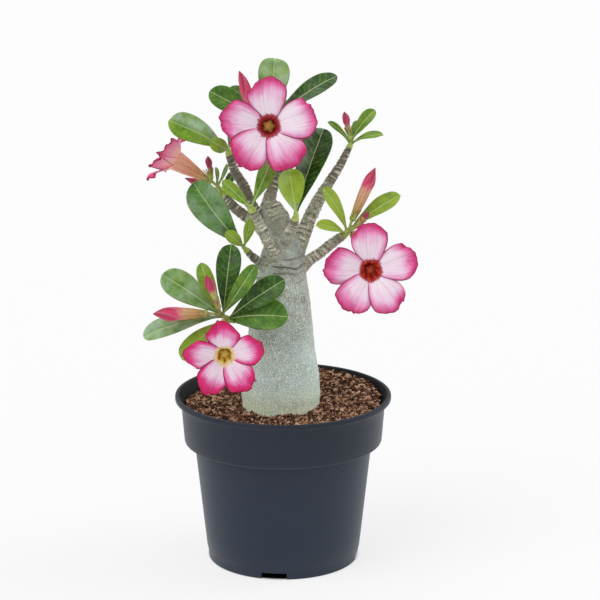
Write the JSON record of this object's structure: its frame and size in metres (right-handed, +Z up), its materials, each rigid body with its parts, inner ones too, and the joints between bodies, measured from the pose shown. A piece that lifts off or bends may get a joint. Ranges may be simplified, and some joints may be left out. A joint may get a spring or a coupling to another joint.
{
  "type": "potted desert rose adenium",
  "caption": "Flowering desert rose with a swollen grey trunk, scarred branches, glossy leaves and pink blooms, growing in a plain round nursery pot of bark mulch.",
  "frame": {"origin": "middle of the pot's foot, on the surface that the pot stands on; the foliage spreads about evenly to both sides of it", "axes": "+Z up along the pot's axis; +X to the right of a viewer who sees the front; -Y towards that viewer; -Z is the outward normal of the pot's foot"},
  "size_m": [0.1852, 0.15, 0.3473],
  "materials": {
    "pot_plastic": "satin",
    "soil_mulch": "matte",
    "bark": "matte",
    "leaf": "satin",
    "petal": "satin",
    "bud": "satin",
    "anther": "matte"
  },
  "bodies": {
    "root": {"pot": "pot_plastic", "soil": "soil_mulch", "caudex": "bark", "shoot_crown": "leaf", "shoot_upperLeft": "leaf", "shoot_front": "leaf", "shoot_middle": "leaf", "shoot_rightUpper": "leaf", "shoot_rightLower": "leaf", "shoot_farLeft": "leaf", "shoot_lowLeft": "leaf", "shoot_side": "leaf", "bloom_top": "petal", "anthers_top": "anther", "bloom_right": "petal", "anthers_right": "anther", "bloom_low": "petal", "anthers_low": "anther", "bloom_left": "petal", "anthers_left": "anther", "bud_crown": "bud", "bud_leftUp": "bud", "bud_leftLow": "bud", "bud_rightUpper": "bud", "bud_rightLower": "bud", "bud_rightSmall": "bud", "bud_sideLevel": "bud", "bud_sideUp": "bud"}
  },
  "joints": []
}
